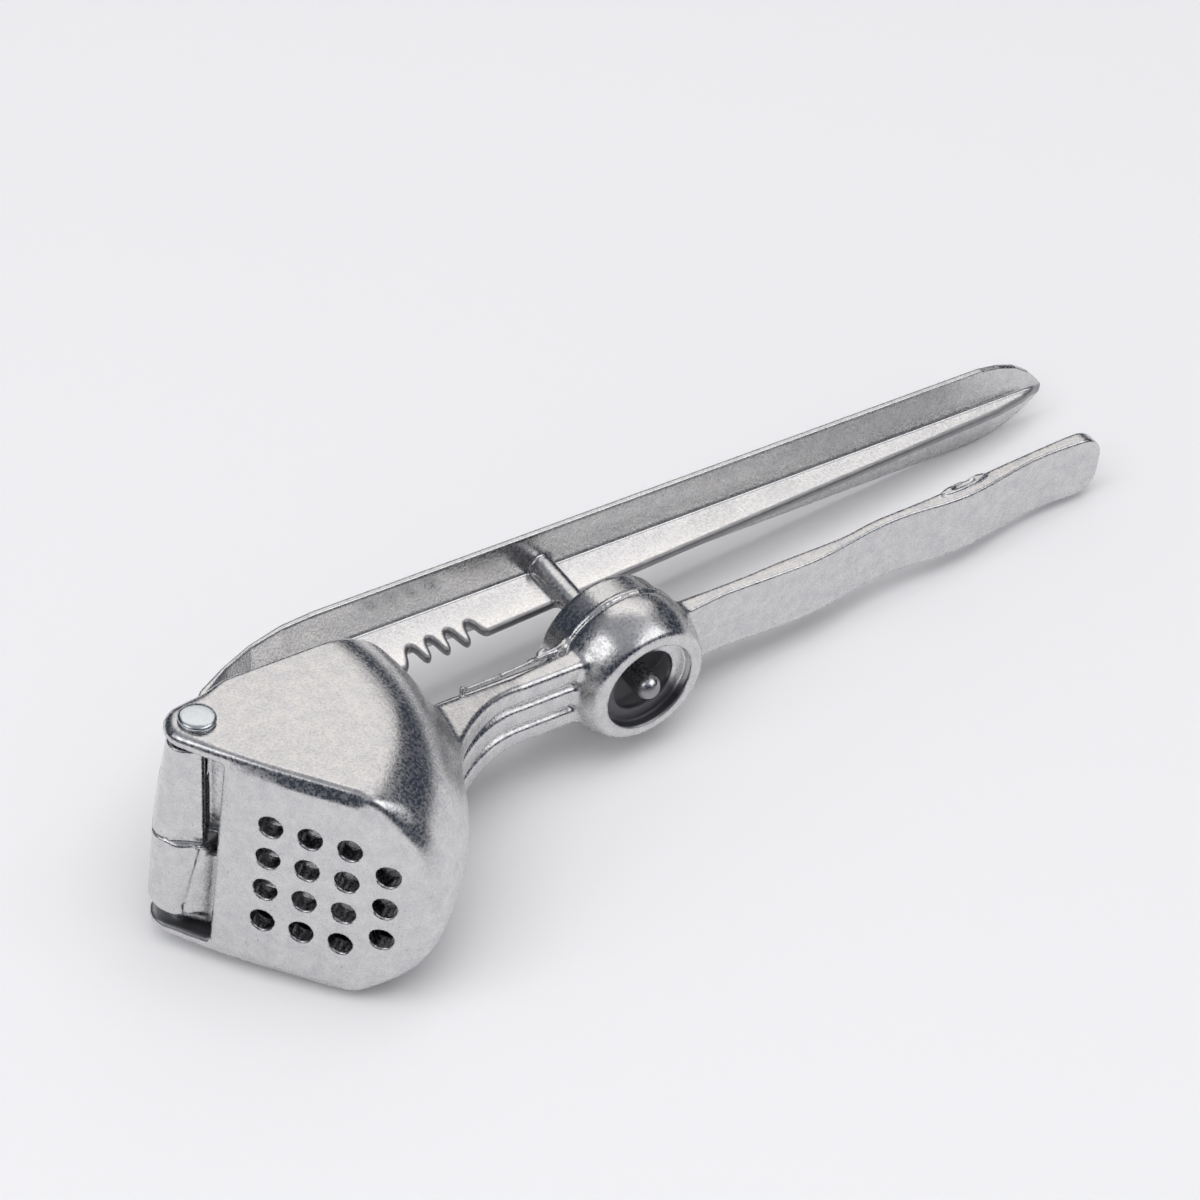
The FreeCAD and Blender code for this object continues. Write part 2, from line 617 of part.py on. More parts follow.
def hinge_rivet():
    """the rivet: a domed head on top, its tail spread into the lower ear"""
    body = doc.addObject("PartDesign::Body", "hinge_rivet")
    profile = body.newObject("Sketcher::SketchObject", "rivet_profile")
    profile.AttachmentSupport = [(origin_plane(body, "XZ_Plane"), "")]
    profile.MapMode = "FlatFace"
    shank = "sizes.rivet_bore / 2"
    head = "sizes.rivet_head / 2"
    crown_radius = "((%s)^2 / (2 * sizes.rivet_head_crown) + sizes.rivet_head_crown / 2)" % head
    trace(profile, [
        ("0", "-" + HALF),
        ("sizes.rivet_tail / 2", "-" + HALF),
        (shank, "sizes.rivet_tail_depth - " + HALF),
        (shank, HALF),
        (head, HALF),
        (head, HALF + " + sizes.rivet_head_rise - sizes.rivet_head_crown"),
        ("0", HALF + " + sizes.rivet_head_rise"),
    ], arcs={5: (crown_radius, 1)})
    spin = body.newObject("PartDesign::Revolution", "rivet_spin")
    spin.Profile = profile
    spin.ReferenceAxis = (profile, ["V_Axis"])
    spin.Angle = 360
    body.Tip = spin
    return body


# ---------------------------------------------------------------- the three pieces
pieces = [hopper_lever(), plunger_lever(), hinge_rivet()]
for piece in pieces:
    piece.Label = piece.Name
    bind(piece, {
        "Placement.Base.x": "sizes.hinge_ahead",
        "Placement.Base.y": "sizes.hinge_aside",
        "Placement.Base.z": HALF,
    })
doc.recompute()

for thing in doc.Objects:
    if "Invalid" in thing.State or "Error" in thing.State:
        raise RuntimeError("%s did not build: %s" % (thing.Name, thing.State))
for piece in pieces:
    if piece.Shape.isNull() or not piece.Shape.isValid():
        raise RuntimeError(piece.Label + " has no valid shape")
    if len(piece.Shape.Solids) != 1:
        raise RuntimeError(piece.Label + " is not one solid")

os.makedirs("parts", exist_ok=True)
for piece in pieces:
    piece.Shape.exportStep("parts/%s.step" % piece.Label)
    box = piece.Shape.BoundBox
    print("%s volume %.1f, %.2f to %.2f, %.2f to %.2f, %.2f to %.2f" % (
        piece.Label, piece.Shape.Volume, box.XMin, box.XMax, box.YMin, box.YMax, box.ZMin, box.ZMax))
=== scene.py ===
import json
import math

import bpy
import numpy as np
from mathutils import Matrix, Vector


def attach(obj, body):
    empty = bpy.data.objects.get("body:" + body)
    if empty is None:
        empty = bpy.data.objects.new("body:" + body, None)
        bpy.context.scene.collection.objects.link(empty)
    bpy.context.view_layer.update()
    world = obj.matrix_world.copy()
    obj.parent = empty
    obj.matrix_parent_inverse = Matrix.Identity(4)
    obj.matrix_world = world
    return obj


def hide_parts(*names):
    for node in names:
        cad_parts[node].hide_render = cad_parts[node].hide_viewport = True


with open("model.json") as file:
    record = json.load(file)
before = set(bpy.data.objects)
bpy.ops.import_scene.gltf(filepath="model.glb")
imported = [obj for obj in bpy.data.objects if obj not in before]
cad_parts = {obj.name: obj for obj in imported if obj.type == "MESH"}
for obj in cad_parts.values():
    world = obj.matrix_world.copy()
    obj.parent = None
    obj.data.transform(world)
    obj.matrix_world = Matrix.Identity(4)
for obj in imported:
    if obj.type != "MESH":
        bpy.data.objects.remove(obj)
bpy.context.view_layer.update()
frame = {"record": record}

# ------------------------------------------------------------------ hopper lever
# The fixed lever: hopper, fluted neck, olive cup and grip, pressure die-cast in one
# piece of aluminium and tumbled smooth, so that every edge is a little round.

# A casting is drawn as a form: a function that gives each place's distance to the
# surface, below zero inside. Places are in millimetres from the hinge axis: x along
# the levers, y towards the plunger lever, z up along the rivet. skin() casts the form.
HINGE = Vector(frame["record"]["behaviour"]["joints"][0]["pos_m"])


def joined(a, b, fillet):
    """two forms as one, with a fillet where they meet"""
    near = np.maximum(fillet - np.abs(a - b), 0)
    return np.minimum(a, b) - near * near / (4 * fillet)


def common(a, b, rounding):
    """what two forms share, with its new edges rounded"""
    return -joined(-a, -b, rounding)


def cut(form, tool, rounding):
    """a form with a tool cut out of it, with the new edges rounded"""
    return -joined(-form, tool, rounding)


def step(low, high, value):
    """rises smoothly from 0 at low to 1 at high"""
    part = np.clip((value - low) / (high - low), 0, 1)
    return part * part * (3 - 2 * part)


def plan(x, y, corners):
    """distance to a closed outline, below zero inside it"""
    nearest = np.inf
    side = 1.0
    for (ax, ay), (bx, by) in zip(corners, corners[-1:] + corners[:-1]):
        ex, ey = bx - ax, by - ay
        wx, wy = x - ax, y - ay
        along = np.clip((wx * ex + wy * ey) / (ex * ex + ey * ey), 0, 1)
        nearest = np.minimum(nearest, np.hypot(wx - along * ex, wy - along * ey))
        above, below, left = y >= ay, y < by, ex * wy > ey * wx
        side = np.where((above & below & left) | ~(above | below | left), -side, side)
    return side * nearest


def arc(radius, start, end, count=9):
    """points along an arc about the hinge axis, angles in degrees"""
    angles = [math.radians(start + (end - start) * i / (count - 1)) for i in range(count)]
    return [(radius * math.cos(a), radius * math.sin(a)) for a in angles]


def rounded(out, up, corner):
    """a corner of the given radius between two limits"""
    out = out + corner
    up = up + corner
    past_both = np.hypot(np.maximum(out, 0), np.maximum(up, 0))
    return past_both + np.minimum(np.maximum(out, up), 0) - corner


def drum(x, y, z, radius, half, corner):
    """a drum about the hinge whose rim runs in one sweep from side to side"""
    out = np.maximum(np.hypot(x, y) - (radius - corner), 0)
    ratio = np.hypot(out / corner, z / half)
    return (ratio - 1) * ratio / (np.hypot(out / corner ** 2, z / half ** 2) + 1e-6)


def tube(x, y, z, start, end, radius):
    """a straight bar with round ends"""
    ex, ey, ez = (b - a for a, b in zip(start, end))
    wx, wy, wz = x - start[0], y - start[1], z - start[2]
    along = np.clip((wx * ex + wy * ey + wz * ez) / (ex * ex + ey * ey + ez * ez), 0, 1)
    return np.sqrt((wx - along * ex) ** 2 + (wy - along * ey) ** 2 + (wz - along * ez) ** 2) - radius


def drawn(x, stations, ease=2.0):
    """a height read off a drawn curve, its bends eased by the mean of five places"""
    places, heights = zip(*stations)
    shifts = (-1.0, -0.5, 0.0, 0.5, 1.0)
    return sum(np.interp(x + ease * shift, places, heights) for shift in shifts) / 5


# the net's mesh in millimetres, the reach over which a slope is taken, the least slope that
# is trusted, and half the width over which one mark, a finish or a painted shade or highlight, fades into
# the next
CELL = 0.3
SLOPE_REACH = 0.1
LEAST_SLOPE = 0.3
MARK_EDGE = 0.3


def net(form, low, high, cell):
    """the surface where a form is zero, as points and the quads between them"""
    # the cells that the surface runs through: some of their corners are inside, not all
    lines = [np.arange(a, b + cell, cell, dtype=np.float32) for a, b in zip(low, high)]
    field = form(lines[0][:, None, None], lines[1][None, :, None], lines[2][None, None, :])
    inside = field < 0
    shape = [size - 1 for size in field.shape]
    corners = [(i, j, k) for i in (0, 1) for j in (0, 1) for k in (0, 1)]
    filled = np.zeros(shape, np.int8)
    for corner in corners:
        filled += inside[tuple(slice(c, c + size) for c, size in zip(corner, shape))]
    cells = np.argwhere((filled > 0) & (filled < 8))
    number = np.full(shape, -1, np.int32)
    number[tuple(cells.T)] = np.arange(len(cells))

    # a point in each of them, in the middle of the places where its edges are crossed
    total = np.zeros((len(cells), 3))
    hits = np.zeros((len(cells), 1))
    for start in corners:
        for axis in range(3):
            if start[axis]:
                continue
            end = np.array(start)
            end[axis] = 1
            a = field[tuple((cells + start).T)]
            b = field[tuple((cells + end).T)]
            crossed = (a < 0) != (b < 0)
            points = np.tile(np.array(start, float), (crossed.sum(), 1))
            points[:, axis] = a[crossed] / (a[crossed] - b[crossed])
            total[crossed] += points
            hits[crossed] += 1
    points = (cells + total / hits) * cell + np.array(low)

    # a quad between the four cells round each crossed edge, its face turned outwards
    quads = []
    for axis in range(3):
        p, q = (axis + 1) % 3, (axis + 2) % 3
        edges = np.argwhere(np.diff(inside, axis=axis))
        within = (edges[:, p] > 0) & (edges[:, q] > 0) & (edges[:, p] < shape[p]) & (edges[:, q] < shape[q])
        edges = edges[within]
        loop = []
        for back_p, back_q in ((0, 0), (1, 0), (1, 1), (0, 1)):
            cell_at = edges.copy()
            cell_at[:, p] -= back_p
            cell_at[:, q] -= back_q
            loop.append(number[tuple(cell_at.T)])
        loop = np.stack(loop, 1)
        inward = ~inside[tuple(edges.T)]
        loop[inward] = loop[inward, ::-1]
        quads.append(loop)

    # the points pushed onto the surface, along the form's slope
    for _ in range(2):
        slope = [form(*(points + offset).T) - form(*(points - offset).T)
                 for offset in SLOPE_REACH * np.eye(3)]
        slope = np.stack(slope, 1) / (2 * SLOPE_REACH)
        push = form(*points.T) / np.maximum((slope ** 2).sum(1), LEAST_SLOPE)
        points -= slope * np.clip(push, -cell / 3, cell / 3)[:, None]
    return points, np.concatenate(quads)


def skin(name, form, marks, low, high):
    """casts a form, and marks on its points where each finish and each painted shade or highlight lies"""
    points, quads = net(form, low, high, CELL)
    mesh = bpy.data.meshes.new(name)
    mesh.from_pydata((points / 1000 + np.array(HINGE)).tolist(), [], quads.tolist())
    mesh.shade_smooth()
    for title, place in marks.items():
        mark = mesh.attributes.new(title, "FLOAT", "POINT")
        mark.data.foreach_set("value", step(MARK_EDGE, -MARK_EDGE, place(*points.T)).astype(np.float32))
    piece = bpy.data.objects.new(name, mesh)
    bpy.context.collection.objects.link(piece)
    return piece


# The hopper is a sector of a drum about the hinge, with a strainer wall in front.
# Its face is measured along it from the hinge and out of it. The bevel over the face and
# the face's corners run straight near the ears and round past FACE_ROUND.
BOWL_RADIUS = 40.6
BOWL_CORNER = 15.5
BOWL_BORE = 37.6
BORE_CORNER = 12.5
HALF_WIDTH = 19.8
INNER_HALF = 17.4
BACK_EDGE = 5.9
BACK_KNEE = 8.0
EAR_RADIUS = 5.0
RIVET_BORE = 2.1
FACE_ANGLE = math.radians(-51.5)
FACE_OUT = 6.25
FACE_IN = 3.25
FACE_START = 5.9
FACE_STRAIGHT = 26
FACE_ROUND = 34
BEVEL_HEIGHT = 2.4
BEVEL_SLOPE = 0.51
BEVEL_STRETCH = 1.12
HOLE_RADIUS = 1.85
HOLE_FIRST = 14.0
HOLE_PITCH = 6.0
HOLE_ROW_PITCH = 6.2


def from_face(x, y):
    """distance along the strainer face from the hinge, and out of it"""
    along = x * math.cos(FACE_ANGLE) + y * math.sin(FACE_ANGLE)
    out = x * math.sin(FACE_ANGLE) - y * math.cos(FACE_ANGLE)
    return along, out


def on_face(along, out):
    """the place of a point given along and out of the strainer face"""
    return (along * math.cos(FACE_ANGLE) + out * math.sin(FACE_ANGLE),
            along * math.sin(FACE_ANGLE) - out * math.cos(FACE_ANGLE))


# round the ears, then by two corners well outside the bowl to the straight back
EAR_AND_BACK = (arc(EAR_RADIUS, 90, 270 + math.degrees(FACE_ANGLE)) +
                [on_face(56, 15), (90, BACK_EDGE), (BACK_KNEE, BACK_EDGE)])


def hopper(x, y, z):
    """a sector of a drum, hollowed, with the strainer wall across its bevelled front"""
    from_axis = np.hypot(x, y)
    along, out = from_face(x, y)
    rim = drum(x, y, z, BOWL_RADIUS, HALF_WIDTH, BOWL_CORNER)
    past_straight = step(FACE_STRAIGHT, FACE_ROUND, from_axis)
    bevel = out - FACE_OUT + BEVEL_SLOPE * (rim + BEVEL_HEIGHT * (1 - past_straight))
    body = common(rim, bevel / BEVEL_STRETCH, rounding=0.7)
    body = common(body, out - FACE_OUT, rounding=0.3 + 4.4 * past_straight)
    body = common(body, plan(x, y, EAR_AND_BACK), rounding=0.8 + 1.6 * step(9, 3, x))
    bore = drum(x, y, z, BOWL_BORE, INNER_HALF, BORE_CORNER)
    body = cut(body, common(bore, out - FACE_IN, rounding=1.5), rounding=0.8)
    window = common(along - FACE_START, np.abs(z) - INNER_HALF, rounding=0.8)
    body = cut(body, window, rounding=1.5)
    column = HOLE_FIRST + HOLE_PITCH * np.clip(np.round((along - HOLE_FIRST) / HOLE_PITCH), 0, 2)
    row = HOLE_ROW_PITCH * (np.clip(np.round(z / HOLE_ROW_PITCH - 0.5), -2, 1) + 0.5)
    holes = np.hypot(along - column, z - row)
    short_row = HOLE_ROW_PITCH * np.clip(np.round(z / HOLE_ROW_PITCH), -1, 1)
    holes = np.minimum(holes, np.hypot(along - HOLE_FIRST - 3 * HOLE_PITCH, z - short_row))
    body = cut(body, np.maximum(holes - HOLE_RADIUS, FACE_IN - 1 - out), rounding=0.35)
    return cut(body, from_axis - RIVET_BORE, rounding=0.2)


# The neck joins hopper and cup. It flares from FLARE_END back to the hopper.
NECK_ROOT = 36.5
NECK_END = 72
NECK_FRONT = -4.75
NECK_BACK = -2.2
NECK_HALF = 6.1
FLARE_END = 55
FLARE_LENGTH = 16
FLUTE_PLACE = 0.37
NECK_RIB_BACK = 3.4
RIB_HALF = 1.2


def neck(x, y, z):
    """flared at the hopper, two flutes that leave three ribs along its front, one rib behind"""
    flare = np.clip((FLARE_END - x) / FLARE_LENGTH, 0, 1.3)
    half = NECK_HALF + 1.9 * flare
    across = z / half
    front = NECK_FRONT - 7.6 * flare ** 1.9 + 0.35 * across ** 2
    for depth, width in ((1.0, 0.085), (0.25, 0.2)):
        front = front + depth * np.exp(-((np.abs(across) - FLUTE_PLACE) / width) ** 2)
    back = NECK_BACK + 0.085 * (x - 45)
    lean = np.sqrt(1 + (0.9 * flare ** 0.9) ** 2)
    body = common((front - y) / lean, y - back, rounding=0.6)
    body = common(body, np.abs(z) - half, rounding=1.2)
    rib = common(y - NECK_RIB_BACK, np.abs(z) - RIB_HALF, rounding=0.8)
    rib = np.maximum(rib, -4 - y)
    body = joined(body, rib, fillet=0.8)
    return np.maximum(body, np.maximum(NECK_ROOT - x, x - NECK_END))


# start, end, radius, fillet to the pieces before it
FLASH = [((45.6, -1.95, 7.5), (52.0, -1.4, 6.95), 0.33, 0.1),
         ((52.0, -1.4, 6.95), (59.5, -0.6, 6.55), 0.3, 0.1),
         ((45.6, -1.9, 7.9), (45.3, -2.3, 6.9), 0.42, 0.3),
         ((58.8, -0.3, 6.3), (62.9, 0.1, 6.0), 0.4, 0.5),
         ((61.2, 0.6, 6.2), (62.4, 0.9, 6.3), 0.4, 0.5),
         ((63.9, 0.2, 5.8), (66.5, 1.2, 5.5), 0.8, 0.8)]


def flash(x, y, z):
    """the thin fin left where the dies met along the neck's back, and its torn ends"""
    fin = np.inf
    for start, end, radius, fillet in FLASH:
        fin = joined(fin, tube(x, y, z, start, end, radius), fillet)
    return fin


# The olive cup is turned about the pitting rod. Its front is where the stone leaves.
CUP_AT = 76.6
CUP_FRONT = -8.2
CUP_BACK = 6.5
CUP_PARTING = 0.6
BALL_MIDDLE = -1.3
BALL_RADIUS = 11.8
BAND_RADIUS = 11.3
BEAD_RADIUS = 11.7
BEAD_AT = 1.15
GROOVE_RADIUS = 11.75
GROOVE_AT = 0.45
SEAT = [(-5.4, 5.4), (-0.6, 9.0)]
REBATE_RADIUS = 7.7
REBATE_LEDGE = -6.4


def cup(x, y, z):
    """a flat-rimmed band on a ball, with a bead and a groove where the dies met"""
    out = np.hypot(x - CUP_AT, z)
    ball = np.hypot(out, y - BALL_MIDDLE) - BALL_RADIUS
    ball = common(common(ball, CUP_FRONT - y, rounding=0.8), y - CUP_PARTING, rounding=0.5)
    band = common(out - BAND_RADIUS + 0.08 * (y - CUP_PARTING), y - CUP_BACK, rounding=1.1)
    band = np.maximum(band, -2 - y)
    bead = np.maximum(out - BEAD_RADIUS, np.abs(y - BEAD_AT) - 0.5)
    body = joined(np.minimum(ball, band), bead, fillet=0.2)
    return cut(body, np.hypot(out - GROOVE_RADIUS, y - GROOVE_AT) - 0.3, rounding=0.15)


def cup_bore(x, y, z):
    """the olive's seat, the ledge under it and the rebate round the stone's hole"""
    out = np.hypot(x - CUP_AT, z)
    seat = out - drawn(y, SEAT, ease=0.4)
    rebate = common(out - REBATE_RADIUS, y - REBATE_LEDGE, rounding=0.2)
    return np.minimum(seat, rebate)


# The grip's two faces are curves of place along the lever and height.
GRIP_FRONT = [(80, -2.6), (90, -1.7), (95, -1.15), (101, -1.3), (111, -1.5), (116, -1.1), (125, 0.3),
              (130, 0.65), (135, 0.5), (140, -0.1), (145, -0.1), (150, 0.6), (155, 1.5), (160, 2.1),
              (166, 2.1), (173, 1.7)]
GRIP_BACK = [(80, 1.0), (101, 1.05), (107, 1.35), (120, 1.4), (126, 2.35), (138, 2.6), (153, 3.7),
             (166, 4.5), (173, 4.5)]
GRIP_ROOT = 82
GRIP_HALF = 5.8
GRIP_TIP = 173.2
TIP_ROUND = 4.4
RIB_BACK = [(84, 5.5), (160, 3.2)]
RIB_END = 162
OVAL_AT = 144.4
OVAL_LONG = 4.2
OVAL_WIDE = 0.75


def grip(x, y, z):
    """an upright strip waved for the fingers, a rib behind it and a low oval ring on its top edge"""
    front = drawn(x, GRIP_FRONT)
    thickness = np.maximum(front - y, y - drawn(x, GRIP_BACK))
    side = rounded(x - GRIP_TIP, np.abs(z) - GRIP_HALF, TIP_ROUND)
    strip = np.maximum(common(thickness, side, rounding=0.6), GRIP_ROOT - x)
    rib = np.maximum(y - drawn(x, RIB_BACK), front + 0.8 - y)
    rib = common(rib, np.abs(z) - RIB_HALF, rounding=0.7)
    rib = np.maximum(rib, np.maximum(RIB_BACK[0][0] - x, x - RIB_END))
    middle = 2.45 + 0.08 * (x - 145)
    oval = (np.hypot((x - OVAL_AT) / OVAL_LONG, (y - middle) / OVAL_WIDE) - 1) * OVAL_WIDE
    ring = np.maximum(np.abs(oval + 0.1) - 0.22, thickness)
    ring = common(ring, np.abs(z - GRIP_HALF) - 0.4, rounding=0.15)
    return joined(joined(strip, rib, fillet=0.8), ring, fillet=0.2)


def hopper_lever(x, y, z):
    body = joined(hopper(x, y, z), neck(x, y, z), fillet=1.6)
    body = joined(body, flash(x, y, z), fillet=0.3)
    body = joined(body, grip(x, y, z), fillet=1.6)
    body = joined(body, cup(x, y, z), fillet=1.0)
    return cut(body, cup_bore(x, y, z), rounding=0.35)


def hopper_dull_and_shaded(x, y, z):
    """dull cast skin, painted darker as shade: inside the hopper, in the gap between the ears, the olive's
    seat and the lower side of the rebate round the stone's hole, where shade falls"""
    chamber = drum(x, y, z, BOWL_BORE, INNER_HALF, BORE_CORNER)
    chamber = np.maximum(chamber, from_face(x, y)[1] - FACE_IN + 1)
    out = np.hypot(x - CUP_AT, z)
    seat = np.maximum(out - 9.1, np.abs(y - 0.5) - 5.7)
    shaded_low_side = 4.5 - (x - CUP_AT) - 0.5 * z
    rebate = np.maximum(np.maximum(out - 7.6, np.abs(y + 6.2) - 1.4), 0.4 - 0.3 * shaded_low_side)
    between_ears = np.maximum(np.hypot(x, y) - 7, np.abs(z) - INNER_HALF)
    return np.minimum(np.minimum(chamber, np.minimum(seat, rebate)), between_ears) - 0.4


# the hollows' mark paints shade in the hollows and gaps, partly as dull cast skin
hopper_casting = skin("hopper_lever_casting", hopper_lever, {"as_cast_and_shade": hopper_dull_and_shaded},
                      (-7, -34, -21), (175, 8, 21))


def linear(hex_colour):
    """an sRGB hex colour as linear values"""
    parts = [int(hex_colour[i:i + 2], 16) / 255 for i in (1, 3, 5)]
    return [p / 12.92 if p <= 0.04045 else ((p + 0.055) / 1.055) ** 2.4 for p in parts] + [1.0]


def add_node(tree, kind, settings=None, inputs=None):
    """adds a shader node with its settings, values and links"""
    made = tree.nodes.new(kind)
    for name, value in (settings or {}).items():
        setattr(made, name, value)
    for socket, value in (inputs or {}).items():
        if isinstance(value, bpy.types.NodeSocket):
            tree.links.new(value, made.inputs[socket])
        else:
            made.inputs[socket].default_value = value
    return made


def per_metre(millimetres):
    """the scale of a pattern whose features are that far apart"""
    return 1000 / millimetres


# Tumbled die-cast aluminium. The tumbling leaves a satin skin, mottled in two greys, with
# blotches of a duller shine and fine pits. Hollows and gaps are painted a darker grey, partly as dull cast
# skin and partly as painted shade, and the web's flat faces are painted paler as a painted highlight. Real
# grain
# is finer than 0.45 mm: it is drawn coarse enough to show.
BLOTCH_SIZE = 9
MOTTLE_SIZE = 2.2
GRAIN_SIZE = 0.45
BUMP_HEIGHT = 0.0003


def tumbled_aluminium():
    metal = bpy.data.materials.new("tumbled_die_cast_aluminium")
    metal.use_nodes = True
    tree = metal.node_tree
    tree.nodes.clear()
    place = add_node(tree, "ShaderNodeTexCoord").outputs["Object"]
    blotch = add_node(tree, "ShaderNodeTexNoise", inputs={
        "Vector": place, "Scale": per_metre(BLOTCH_SIZE), "Detail": 3.0, "Roughness": 0.6})
    mottle = add_node(tree, "ShaderNodeTexNoise", inputs={
        "Vector": place, "Scale": per_metre(MOTTLE_SIZE), "Detail": 5.0, "Roughness": 0.7})
    grain = add_node(tree, "ShaderNodeTexNoise", inputs={
        "Vector": place, "Scale": per_metre(GRAIN_SIZE), "Detail": 2.0, "Roughness": 0.5})
    pits = add_node(tree, "ShaderNodeMapRange", inputs={
        "Value": grain.outputs["Fac"], "From Min": 0.34, "From Max": 0.28, "To Min": 0.0, "To Max": 0.5})
    tone = add_node(tree, "ShaderNodeMapRange", inputs={
        "Value": mottle.outputs["Fac"], "From Min": 0.3, "From Max": 0.7})
    mottled = add_node(tree, "ShaderNodeMix", {"data_type": "RGBA"}, {
        0: tone.outputs["Result"], 6: linear("#C3C3C6"), 7: linear("#DAD8D6")})
    pitted = add_node(tree, "ShaderNodeMix", {"data_type": "RGBA"}, {
        0: pits.outputs["Result"], 6: mottled.outputs[2], 7: linear("#8C8C90")})
    # painted shade: the hollows and gaps that the first mark covers turn a darker grey, partly dull cast
    # skin and partly shade
    as_cast_and_shade = add_node(tree, "ShaderNodeAttribute", {"attribute_name": "as_cast_and_shade"}).outputs["Fac"]
    dulled_and_shaded = add_node(tree, "ShaderNodeMix", {"data_type": "RGBA"}, {
        0: as_cast_and_shade, 6: pitted.outputs[2], 7: linear("#717175")})
    # painted highlight: the web's flat faces, under the second mark, turn a paler grey as if lit
    painted_highlight = add_node(tree, "ShaderNodeAttribute", {"attribute_name": "painted_highlight"}).outputs["Fac"]
    colour = add_node(tree, "ShaderNodeMix", {"data_type": "RGBA"}, {
        0: painted_highlight, 6: dulled_and_shaded.outputs[2], 7: linear("#F4F2F0")})
    uneven = add_node(tree, "ShaderNodeMath", {"operation": "MULTIPLY_ADD"}, {
        0: blotch.outputs["Fac"], 1: 0.35, 2: grain.outputs["Fac"]})
    satin = add_node(tree, "ShaderNodeMapRange", inputs={
        "Value": uneven.outputs["Value"], "From Min": 0.58, "From Max": 0.8, "To Min": 0.2, "To Max": 0.36})
    finish = add_node(tree, "ShaderNodeMix", inputs={0: as_cast_and_shade, 2: satin.outputs["Result"], 3: 0.6})
    relief = add_node(tree, "ShaderNodeMath", {"operation": "MULTIPLY_ADD"}, {
        0: grain.outputs["Fac"], 1: 0.8, 2: blotch.outputs["Fac"]})
    bump = add_node(tree, "ShaderNodeBump", inputs={
        "Height": relief.outputs["Value"], "Strength": 0.1, "Distance": BUMP_HEIGHT})
    surface = add_node(tree, "ShaderNodeBsdfPrincipled", inputs={
        "Base Color": colour.outputs[2], "Metallic": 1.0, "Roughness": finish.outputs[0],
        "Normal": bump.outputs["Normal"]})
    add_node(tree, "ShaderNodeOutputMaterial", inputs={"Surface": surface.outputs["BSDF"]})
    return metal


ALUMINIUM = tumbled_aluminium()
hopper_casting.data.materials.append(ALUMINIUM)
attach(hopper_casting, "hopper_side")
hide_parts("hopper_lever")

# ----------------------------------------------------------------- plunger lever
# The moving lever, cast in one piece of the same aluminium: a barrel that turns on
# the rivet, the plunger in the hopper, a T-shaped handle of flange and web with four
# teeth on the web, and the pitting rod, which runs out of the web through the cup.

# The barrel's flat, crease and burrs are placed along and out of the strainer face. Its
# upper half is a rounded bar whose section lies across and deep.
BARREL_RADIUS = 5.25
BARREL_TOP = 17.3
BARREL_FOOT = -14.6
BARREL_FLAT = (0.522, 0.853)
BARREL_CREASE = [(3.44, 3.75, -0.8), (1.9, 4.75, -12.5), (2.4, 4.6, -15.2)]
BARREL_BURRS = [((3.4, 4.0, -0.5), (4.4, 3.1, -1.4), 0.28), ((2.6, 4.5, -0.6), (4.6, 2.9, -0.3), 0.2)]
UPPER_ACROSS = (0.829, -0.559)
UPPER_DEEP = (0.559, 0.829)


def barrel(x, y, z):
    """two cast halves with a seam between them: the upper one slimmer, the lower one with a
    flat towards the plunger and a crease beside it, and two burrs on the seam"""
    along, out = from_face(x, y)
    flat = BARREL_FLAT[0] * along + BARREL_FLAT[1] * out - 4.9
    lower = common(np.hypot(x, y) - BARREL_RADIUS, flat, rounding=0.4)
    lower = common(lower, np.maximum(z + 0.3, BARREL_FOOT - z), rounding=0.8)
    head, middle, foot = BARREL_CREASE
    crease = tube(along, out, z, head, middle, 0.3)
    crease = np.minimum(crease, tube(along, out, z, middle, foot, 0.55))
    lower = cut(lower, crease, rounding=0.25)
    across = UPPER_ACROSS[0] * x + UPPER_ACROSS[1] * y + 1.35
    half = 3.9 - 1.15 * np.clip(z / 16.7, 0, 1)
    deep = np.abs(UPPER_DEEP[0] * x + UPPER_DEEP[1] * y) - 4.1
    upper = np.where(across > 0, rounded(across - half, deep, 0.7), rounded(-across - half, deep, 2.6))
    upper = common(upper, np.maximum(z - BARREL_TOP, -2 - z), rounding=0.12)
    burr, second = (tube(along, out, z, *ends_and_radius) for ends_and_radius in BARREL_BURRS)
    burr = joined(burr, second, fillet=0.3)
    seam = np.maximum(np.abs(z + 0.2) - 0.2, np.maximum(4.85 - np.hypot(x, y), along - 1.0))
    body = joined(joined(lower, upper, fillet=0.3), burr, fillet=0.4)
    return cut(body, seam, rounding=0.1)


def eased(corners, rounds=2):
    """an open outline with its corners cut off twice, so that they run round"""
    for _ in range(rounds):
        shorter = [corners[0]]
        for (ax, ay), (bx, by) in zip(corners, corners[1:]):
            shorter.append((0.75 * ax + 0.25 * bx, 0.75 * ay + 0.25 * by))
            shorter.append((0.25 * ax + 0.75 * bx, 0.25 * ay + 0.75 * by))
        corners = shorter + [corners[-1]]
    return corners


